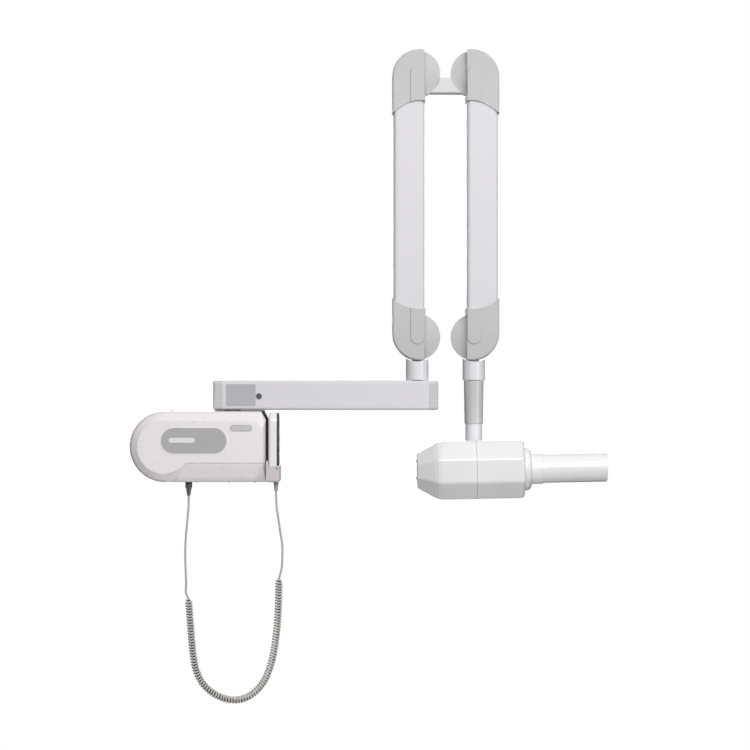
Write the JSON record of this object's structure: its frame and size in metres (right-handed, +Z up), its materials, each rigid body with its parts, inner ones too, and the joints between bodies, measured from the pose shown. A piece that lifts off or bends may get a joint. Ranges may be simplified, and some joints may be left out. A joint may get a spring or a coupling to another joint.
{
  "type": "intraoral xray unit",
  "caption": "Wall-mounted dental x-ray unit: control box with curly-cord handset, swinging extension arm, folding scissor arm, and a swivelling octagonal tubehead with a round cone.",
  "frame": {"origin": "centre of the wall bracket's back face, on the wall", "axes": "+X right along the wall towards the arms, +Y into the wall, +Z up"},
  "size_m": [1.0789, 0.203, 1.4968],
  "materials": {
    "white_plastic": "gloss moulded plastic",
    "head_white": "gloss moulded plastic",
    "arm_white": "satin powder coat",
    "casting_white": "gloss enamel",
    "cover_grey": "satin moulded plastic",
    "panel_grey": "printed film",
    "black_steel": "satin black",
    "dark_plastic": "fine grained",
    "button_grey": "satin",
    "gland_beige": "satin",
    "cord_grey": "satin",
    "label_film": "blank film",
    "board_green": "circuit board",
    "steel": "machined",
    "spring_steel": "oiled",
    "transformer_steel": "cast",
    "cast_iron": "cast",
    "aluminium": "machined",
    "bronze": "machined",
    "lead": "dull",
    "tube_glass": "clear"
  },
  "bodies": {
    "wall_unit": {"wall_bracket": "black_steel", "bearing_housing": "cast_iron", "swivel_bushes": "bronze", "rear_housing": "white_plastic", "front_cover": "white_plastic", "lower_cover": "white_plastic", "badge_panel": "panel_grey", "status_window": "panel_grey", "control_board": "board_green", "power_supply": "transformer_steel", "cord_plug": "dark_plastic", "cord_left": "cord_grey", "cord_coil": "cord_grey", "cord_right": "cord_grey", "handset_cradle": "white_plastic", "cradle_screw": "steel"},
    "power_button": {"power_button": "button_grey"},
    "handset": {"handset_shell": "white_plastic", "handset_face": "dark_plastic", "handset_gland": "gland_beige"},
    "exposure_button": {"exposure_button": "button_grey"},
    "extension_arm": {"extension_tube": "arm_white", "extension_caps": "cover_grey", "swivel_shaft": "steel", "front_bearing": "cast_iron", "label_plate": "label_film", "round_plug": "dark_plastic"},
    "arm_base": {"base_neck": "casting_white", "base_shaft": "steel", "base_cheeks": "cover_grey"},
    "rear_arm": {"rear_arm_tube": "arm_white", "rear_forks": "aluminium", "rear_hub_pins": "steel", "rear_spring": "spring_steel", "rear_lower_covers": "cover_grey", "rear_upper_covers": "cover_grey"},
    "rear_level_rod": {"rear_level_rod": "steel"},
    "bridge": {"bridge_bar": "casting_white", "bridge_cheeks": "cover_grey"},
    "front_arm": {"front_arm_tube": "arm_white", "front_forks": "aluminium", "front_hub_pins": "steel", "front_spring": "spring_steel", "front_lower_covers": "cover_grey", "front_upper_covers": "cover_grey"},
    "front_level_rod": {"front_level_rod": "steel"},
    "head_bracket": {"head_collar": "casting_white", "head_cheeks": "cover_grey"},
    "head_yoke": {"yoke_tube": "casting_white", "yoke_sleeve": "cover_grey", "trunnion_pin": "steel"},
    "tubehead": {"head_rear_shell": "head_white", "head_front_shell": "head_white", "head_front_ring": "head_white", "cone_base": "head_white", "cone": "head_white", "lead_collimator": "lead", "hv_transformer": "transformer_steel", "xray_tube": "tube_glass", "trunnion_bearing": "aluminium"}
  },
  "joints": [
    {"name": "arm_swivel", "type": "hinge", "parent": "wall_unit", "child": "extension_arm", "pos_m": [-0.02, -0.045, 0.08], "axis": [0, 0, 1], "range_deg": [-175, 0]},
    {"name": "base_swivel", "type": "hinge", "parent": "extension_arm", "child": "arm_base", "pos_m": [0.405, -0.045, 0.15], "axis": [0, 0, 1], "range_deg": [-140, 0]},
    {"name": "rear_pitch", "type": "hinge", "parent": "arm_base", "child": "rear_arm", "pos_m": [0.405, -0.045, 0.25], "axis": [0, 1, 0], "range_deg": [0, 70]},
    {"name": "rear_rod_pitch", "type": "hinge", "parent": "arm_base", "child": "rear_level_rod", "pos_m": [0.38043, -0.045, 0.26721], "axis": [0, 1, 0], "range_deg": [0, 70]},
    {"name": "bridge_level", "type": "hinge", "parent": "rear_arm", "child": "bridge", "pos_m": [0.405, -0.045, 0.855], "axis": [0, 1, 0], "range_deg": [-70, 0]},
    {"name": "front_pitch", "type": "hinge", "parent": "bridge", "child": "front_arm", "pos_m": [0.535, -0.045, 0.855], "axis": [0, 1, 0], "range_deg": [-90, 0]},
    {"name": "front_rod_pitch", "type": "hinge", "parent": "bridge", "child": "front_level_rod", "pos_m": [0.55621, -0.045, 0.87621], "axis": [0, 1, 0], "range_deg": [-90, 0]},
    {"name": "head_level", "type": "hinge", "parent": "front_arm", "child": "head_bracket", "pos_m": [0.535, -0.045, 0.25], "axis": [0, 1, 0], "range_deg": [0, 90]},
    {"name": "head_swivel", "type": "hinge", "parent": "head_bracket", "child": "head_yoke", "pos_m": [0.535, -0.045, 0.165], "axis": [0, 0, 1], "range_deg": [-170, 170]},
    {"name": "head_pitch", "type": "hinge", "parent": "head_yoke", "child": "tubehead", "pos_m": [0.535, -0.1, -0.0495], "axis": [0, 1, 0], "range_deg": [-120, 120]},
    {"name": "power_press", "type": "slide", "parent": "wall_unit", "child": "power_button", "axis": [0, 0, -1], "range_m": [0, 0.0015], "stiffness_N_per_m": 400, "springref_m": -0.001},
    {"name": "handset_lift", "type": "slide", "parent": "wall_unit", "child": "handset", "axis": [0, 0, 1], "range_m": [0, 0.05]},
    {"name": "exposure_press", "type": "slide", "parent": "handset", "child": "exposure_button", "axis": [-1, 0, 0], "range_m": [0, 0.0012], "stiffness_N_per_m": 500, "springref_m": -0.001}
  ],
  "couplings": [
    {"joint": "rear_rod_pitch", "follows": "rear_pitch", "ratio": 1},
    {"joint": "bridge_level", "follows": "rear_pitch", "ratio": -1},
    {"joint": "front_rod_pitch", "follows": "front_pitch", "ratio": 1},
    {"joint": "head_level", "follows": "front_pitch", "ratio": -1}
  ]
}
